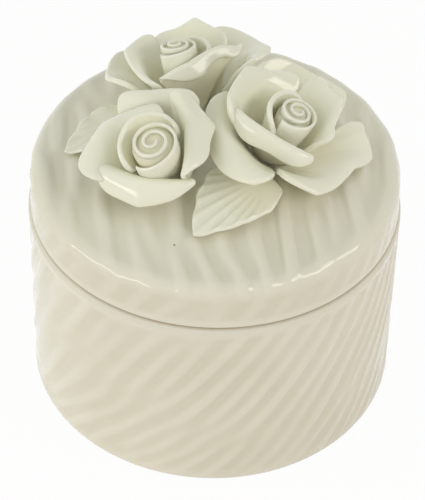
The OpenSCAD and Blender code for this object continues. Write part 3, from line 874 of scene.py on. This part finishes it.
for rose in ROSES:
    heart(rose)

# %% [markdown]
# A petal starts as a pinched disc. Its root hugs the heart, its belly bows out, it folds over and ends in a
# lip that is drawn out to soft points. Four curves across the petal say all this: root, belly, fold and lip,
# each with how far it stands out from the heart, its rise, half width and bend in degrees, how far its ends
# sink, its sideways shift and its slope. A cubic Bezier curve from root to lip takes the four as its control
# curves, and fingertip ripples and a faint ridge behind each drawn point finish it.

# %% Petal helpers
PETAL_COLS, PETAL_ROWS = 56, 40
PETAL_ROOT_T, PETAL_LIP_T = 1.35, 1.25
PETAL_EDGE = 0.75
PETAL_CORNER = 0.12
PETAL_RIPPLE = 0.16
PETAL_POOL = 0.5
CURL_START = 0.65
TIP_SHARPNESS = 1.4
TIP_RIDGE = 0.7
FOLD_RIDGE = 0.4
PETAL_GAP = 0.15
SEAT_GAP = 0.2
ROOT_BEND, WRAP_ROOT_BEND = 47, 62
WRAP_ROOT_Z, INNER_ROOT_Z = 4.5, 1.5
WRAP_ROOT_SWELL = 0.24
OUTER_ROOT_OUT = 1.2
LEAST_BEND = 0.5


def row(out, rise, half_w, bend, sink=0.0, shift=0.0, skew=0.0):
    """One curve across a petal, with its distance from the rose's axis and its bend in radians."""
    bend = bend if abs(bend) > LEAST_BEND else LEAST_BEND
    return (HEART_R + out, rise, half_w, math.radians(bend), sink, shift, skew)


def wrap_root(heading):
    """Root of a wrap, which is level and so the same at every heading."""
    r = HEART_FOOT_R + (HEART_R - HEART_FOOT_R) * WRAP_ROOT_SWELL + PETAL_GAP + PETAL_ROOT_T / 2
    return row(r - HEART_R, WRAP_ROOT_Z, r * math.radians(WRAP_ROOT_BEND), WRAP_ROOT_BEND)


def lid_root(r, rise, heading):
    """Root that follows the lid, which rises on the outward side of a leaning rose."""
    turn, bend = math.radians(heading), math.radians(ROOT_BEND)
    return row(
        r - HEART_R, rise + r * LID_LEAN * math.cos(turn), r * bend, ROOT_BEND,
        sink=r * LID_LEAN * math.cos(turn) * (1 - math.cos(bend)),
        skew=-r * LID_LEAN * math.sin(turn) * math.sin(bend),
    )


def inner_root(heading):
    return lid_root(HEART_FOOT_R + PETAL_GAP + PETAL_ROOT_T / 2, INNER_ROOT_Z, heading)


def outer_root(heading):
    return lid_root(HEART_FOOT_R + OUTER_ROOT_OUT + PETAL_ROOT_T, PETAL_ROOT_T / 2 + SEAT_GAP, heading)


def row_point(curve, u):
    out, rise, half_w, bend, sink, shift, skew = curve
    radius = half_w / bend
    outward = out - radius * (1 - np.cos(u * bend))
    sideways = radius * np.sin(u * bend) + shift
    return np.stack([outward, sideways, rise - sink * u * u + skew * u], -1)


def petal(rose, name, heading, root, belly, fold, lip, tips=(), side=0.3, curl=(0.0, 0.0)):
    """One petal; side is how much shorter its sides are, curl how far the lip turns out and up at the end.

    A tip is a drawn point: its place across the petal, from -1 to 1, its length and its half width."""
    curves = (root(heading), belly, fold, lip)
    wander = 1.7 * heading + 0.9 * len(name)
    lip_bend = lip[3]

    def middle(u, v):
        u, v = np.broadcast_arrays(u, v)
        w = (v * (1 - side * np.abs(u) ** 4))[..., None]
        u = u * (1 - PETAL_CORNER * np.abs(v) ** 6 * np.abs(u) ** 3)
        a, b, c, d = (row_point(curve, u) for curve in curves)
        face = unit(np.cross(d - c, row_point(lip, u + 0.01) - row_point(lip, u - 0.01)))
        draw, ridge = np.zeros_like(u), np.zeros_like(u)
        for place, amount, half in tips:
            point = np.clip(1 - np.abs(u - place) / half, 0, None) ** TIP_SHARPNESS
            draw = np.maximum(draw, amount * point)
            ridge = np.maximum(ridge, TIP_RIDGE * point)
        d = d + draw[..., None] * unit(d - c) + ridge[..., None] * face
        c = c + FOLD_RIDGE * ridge[..., None] * face
        shape = (1 - w) ** 3 * a + 3 * (1 - w) ** 2 * w * b + 3 * (1 - w) * w * w * c + w**3 * d
        wave = np.sin(4.1 * u + 2.3 * v + wander) + 0.7 * np.sin(7.3 * u - 3.1 * v + 2 * wander)
        turned = np.clip((v - CURL_START) / (1 - CURL_START), 0, None) ** 2
        shape[..., 0] += curl[0] * turned * np.cos(lip_bend * u)
        shape[..., 1] += curl[0] * turned * np.sin(lip_bend * u)
        shape[..., 2] += curl[1] * turned + PETAL_RIPPLE * wave * v**2
        return shape

    def thickness(u, v):
        return PETAL_ROOT_T + (PETAL_LIP_T - PETAL_ROOT_T) * v + 0 * u

    turn = np.array(Matrix.Rotation(math.radians(heading), 3, "Z")).T
    low, high = sheet_grids(middle, PETAL_COLS, PETAL_ROWS, thickness, PETAL_EDGE)
    points = np.concatenate([in_rose(rose, g.reshape(-1, 3) @ turn) for g in (low, high)])
    depth = np.tile((1 - edge_spaced(PETAL_ROWS, both_ends=False)) ** 2, PETAL_COLS)
    add_piece(f"{rose}_{name}_formed", f"{rose}_{name}", "lid", points, sheet_faces(PETAL_COLS, PETAL_ROWS),
              [ROSE_GLAZE_PAINTED_LIGHTER], np.tile(PETAL_POOL * depth, 2))


print("points on each side of a petal:", PETAL_COLS * PETAL_ROWS)

# %% [markdown]
# The left rose faces the viewer: a wrap round the heart, three open petals and one behind them.

# %% Left rose
petal("left", "wrap", -106, wrap_root,
      belly=row(0, 7.5, 8, 85),
      fold=row(1.6, 11.7, 11.3, 90, sink=0.6, shift=0.6),
      lip=row(3.2, 14.9, 11.9, 87, sink=1.8, skew=-0.8))
petal("left", "petal_right", 136, inner_root,
      belly=row(4.5, 3.5, 7, 52),
      fold=row(-2.2, 16.5, 14.5, 10, sink=-1, shift=5.4, skew=0.5),
      lip=row(6.9, 10.2, 12.2, 20, sink=0.2, shift=3, skew=0.4),
      tips=[(0.15, 1.7, 0.4)], side=0.25, curl=(-0.3, -1.4))
petal("left", "petal_front", 24, inner_root,
      belly=row(2, 3.2, 6.5, 52),
      fold=row(-2.8, 13.6, 14.8, 15, sink=0.7, shift=-2.1, skew=-2.1),
      lip=row(7.3, 8, 13.2, 14, sink=0.3, shift=-3, skew=-0.5),
      tips=[(0.05, 1.0, 0.45), (0.9, 0.9, 0.4)], side=0.27, curl=(-1.9, -2.1))
petal("left", "petal_left", -93, inner_root,
      belly=row(3.8, 3.9, 8.5, 57),
      fold=row(4.9, 15.7, 14.4, 50, sink=-1, shift=3.2, skew=-1.8),
      lip=row(11.1, 7.6, 14, 45, sink=1.9, shift=1.5, skew=1.7),
      tips=[(0.75, 2.4, 0.5), (-0.1, 1.8, 0.4)], side=0.2, curl=(0.5, -0.5))
petal("left", "outer_back", -140, outer_root,
      belly=row(5, 3, 9, 50),
      fold=row(10.8, 10.2, 10.1, 15, shift=-0.8),
      lip=row(13.1, 8.2, 11, 0, shift=1.8, skew=1.4),
      curl=(0.2, -0.8))

# %% [markdown]
# The right rose is the widest. Its outer petals spread almost flat over the lid, one with three points.

# %% Right rose
petal("right", "wrap", 155, wrap_root,
      belly=row(-1, 7, 7.2, 85),
      fold=row(0.3, 12.1, 9.6, 90, shift=-0.3),
      lip=row(0.5, 14.6, 9.4, 82, sink=1.6, skew=-1.2))
petal("right", "petal_back", 144, inner_root,
      belly=row(3.4, 4, 8.5, 56),
      fold=row(5.9, 10.6, 13.6, 55, shift=1.2, skew=-0.9),
      lip=row(8.8, 12.2, 15.2, 47, sink=0.1, skew=0.3),
      tips=[(0.05, 2.2, 0.5), (0.8, 0.5, 0.35), (-0.85, 1, 0.3)], side=0.2, curl=(0.6, -0.6))
petal("right", "petal_right", 22, inner_root,
      belly=row(2.6, 4.1, 9, 65),
      fold=row(2.9, 12.4, 8.8, 55, shift=2.5, skew=-0.2),
      lip=row(5.3, 13.9, 10.8, 36, shift=3.8, skew=1.2),
      tips=[(0, 2.4, 0.5), (-0.9, 2.6, 0.4), (0.75, 0.9, 0.4)], side=0.2, curl=(0.7, -0.4))
petal("right", "petal_front", -102, inner_root,
      belly=row(2.4, 4.2, 7, 52),
      fold=row(0.1, 15.8, 13.3, 25, sink=-0.5, shift=-3.4, skew=-1.5),
      lip=row(6.3, 10.2, 10.4, -8, sink=1, shift=0.3, skew=1),
      side=0.2, curl=(-2.2, -2.5))
petal("right", "outer_front", -150, outer_root,
      belly=row(3.6, 3, 10, 50, sink=-1.5, skew=-0.5),
      fold=row(6.4, 9.1, 15.5, 40, sink=-0.8, shift=2.1, skew=1.8),
      lip=row(14.3, 4.9, 16.4, 26, sink=-6.1, shift=3, skew=1.1),
      tips=[(-0.8, 1.4, 0.4)], side=0.05, curl=(-2.2, -2.3))
petal("right", "outer_right", -31, outer_root,
      belly=row(4.2, 2.8, 8, 45),
      fold=row(9.8, 7, 16.2, 70, sink=-2.2, shift=5.2, skew=2.6),
      lip=row(11.5, 6.4, 22.6, 63, sink=-5.8, shift=2.4),
      tips=[(-0.28, 3.2, 0.4), (0.55, 4.6, 0.3), (0.85, 3.8, 0.25)], curl=(0.0, -1.1))
petal("right", "outer_back", 80, outer_root,
      belly=row(5, 2.5, 9, 50),
      fold=row(9.9, 6.9, 14, 35, sink=-0.6, shift=4),
      lip=row(15.2, 9.8, 13.8, 25, sink=-1, skew=1.1),
      tips=[(0.75, 0.7, 0.4), (-0.6, 1.5, 0.5)], curl=(0.2, -0.5))

# %% [markdown]
# The back rose is seen over the other two. Its front petal overhangs, and its outer petals spread to the left
# and the right.

# %% Back rose
petal("back", "wrap", -62, wrap_root,
      belly=row(0, 7.5, 8, 82),
      fold=row(0.9, 12, 9.6, 90),
      lip=row(0.9, 14.8, 9.3, 85, sink=0.5))
petal("back", "petal_back", -30, inner_root,
      belly=row(3, 4, 7, 48),
      fold=row(6.1, 11.7, 10.4, 40, sink=-0.4, skew=0.6),
      lip=row(8.3, 14.3, 10.3, 31, sink=0.9, shift=0.6, skew=-0.2),
      tips=[(-0.1, 2.2, 0.5), (-0.95, 1.6, 0.3)], side=0.2, curl=(0.7, -0.3))
petal("back", "petal_front", -168, inner_root,
      belly=row(1.3, 8.7, 8, 55),
      fold=row(-0.9, 18.3, 16.3, 6, sink=1.2, shift=2.8, skew=1.3),
      lip=row(1.3, 10.8, 8.5, -20, sink=5.6, shift=3.7, skew=2.8),
      tips=[(0.75, 2.5, 0.35), (-0.35, 1.3, 0.5)], curl=(-0.4, 0.6))
petal("back", "petal_left", 73, inner_root,
      belly=row(2.2, 4.2, 7, 48),
      fold=row(4.1, 11.8, 12.6, 35, sink=-0.8, shift=-1.1, skew=-2.2),
      lip=row(6.7, 12.6, 14.6, 46, sink=-0.2, shift=-1.9, skew=-2.3),
      tips=[(-0.1, 1.7, 0.5)], side=0.2, curl=(0.4, -0.5))
petal("back", "outer_left", 65, outer_root,
      belly=row(4.7, 3, 9, 50),
      fold=row(9.4, 7.9, 11.2, 40, sink=-2.4, shift=-2.4, skew=0.8),
      lip=row(13.2, 9.1, 11.4, 23, sink=-4.4, shift=-2.1, skew=-0.9),
      curl=(0.2, -0.5))
petal("back", "outer_right", -82, outer_root,
      belly=row(4.9, 3.4, 9, 50),
      fold=row(9.6, 9.5, 12.1, 55, sink=-2.8, shift=2.3, skew=-0.3),
      lip=row(14.1, 11.4, 17, 35, sink=-1.5, shift=1, skew=0.9),
      tips=[(-0.45, 1, 0.4)], curl=(0.3, -0.5))

# %% [markdown]
# The leaves were pressed on a veined mould and laid on the lid, tip down on the dome and stalk end tucked
# under the roses. A leaf is a sheet that follows the dome. Its width swells and tapers along the midrib and a
# few shallow notches mark its edge. The veins fan out from the stalk as soft ridges on the upper side, and
# the thin edge is a little wavy.

# %% Leaves
LEAF_COLS, LEAF_ROWS = 72, 90
LEAF_T = 1.0
LEAF_LIFT, LEAF_CURL = 1.4, 1.0
LEAF_TEETH = 4
TOOTH_STAGGER, TOOTH_BACK = 0.4, 0.3
STALK_SHARE, BLADE_SHARE, BLADE_END = 0.07, 0.93, 0.995
WIDEST_EARLY, LEAF_FULLNESS = 0.62, 0.8
LEAF_EDGE = 0.5
LEAF_SWEEP = 0.15
LEAF_THINNING, LEAF_THIN_RUN = 0.6, (0.6, 1.0)
VEIN_RISE = 0.35
VEIN_TURN = math.radians(8)
VEIN_MEETING = 3
VEIN_START = (4, 12)
VEIN_SHARPNESS = 1.5
EDGE_WAVE, EDGE_WAVES = 0.3, 21


def leaf(name, stalk_r, stalk_turn, heading, length, half_w, teeth):
    """A leaf from its stalk end to its tip; half_w holds the half widths to its right and its left."""
    turn, head = math.radians(stalk_turn), math.radians(heading)
    ahead = np.array([math.cos(head), math.sin(head)])
    beside = np.array([math.sin(head), -math.cos(head)])
    stalk = stalk_r * np.array([math.cos(turn), math.sin(turn)])

    def flat(u, v):
        """Place along the midrib and beside it, in millimetres."""
        u, v = np.broadcast_arrays(u, v)
        edge = np.abs(u)
        blade = np.clip(STALK_SHARE + BLADE_SHARE * v, 0, BLADE_END)
        swell = np.sin(math.pi * blade**WIDEST_EARLY) ** LEAF_FULLNESS
        saw = (LEAF_TEETH * v + TOOTH_STAGGER * (u > 0)) % 1.0
        tooth = smooth_step(saw, 0.0, TOOTH_BACK) * (1 - smooth_step(saw, TOOTH_BACK, 1.0))
        notch = teeth * tooth * edge**8
        width = np.where(u > 0, half_w[0], half_w[1]) * swell * (1 - notch)
        return length * v + LEAF_SWEEP * edge * width, u * width

    def middle(u, v):
        along, aside = flat(u, v)
        x = stalk[0] + along * ahead[0] + aside * beside[0]
        y = stalk[1] + along * ahead[1] + aside * beside[1]
        end = np.clip(1 - v, 0, 1)
        lift = LEAF_LIFT * end**1.2 + LEAF_CURL * u * u * np.sin(math.pi * np.clip(v, 0, 1))
        wave = EDGE_WAVE * np.sin(EDGE_WAVES * v + 2 * np.sign(u)) * u**4
        return np.stack([x, y, dome_z(np.hypot(x, y)) + SEAT_GAP + LEAF_T / 2 + lift + wave], -1)

    def thickness(u, v):
        return LEAF_T * (1 - LEAF_THINNING * smooth_step(v, *LEAF_THIN_RUN)) + 0 * u

    def veins(u, v):
        along, aside = flat(u, v)
        fan = np.arctan2(aside, along + VEIN_MEETING)
        ridges = (0.5 + 0.5 * np.cos(2 * math.pi * fan / VEIN_TURN)) ** VEIN_SHARPNESS
        return VEIN_RISE * ridges * smooth_step(along, *VEIN_START)

    low, high = sheet_grids(middle, LEAF_COLS, LEAF_ROWS, thickness, LEAF_EDGE, veins)
    points = np.concatenate([low.reshape(-1, 3), high.reshape(-1, 3)])
    add_piece(f"{name}_pressed", name, "lid", points, sheet_faces(LEAF_COLS, LEAF_ROWS), [ROSE_GLAZE_PAINTED_LIGHTER])


leaf("leaf_front", stalk_r=17, stalk_turn=-45.5, heading=-135, length=23, half_w=(9.8, 7.5), teeth=0.06)
leaf("leaf_left", stalk_r=18.5, stalk_turn=159, heading=-154, length=18.5, half_w=(7.8, 7.2), teeth=0.05)
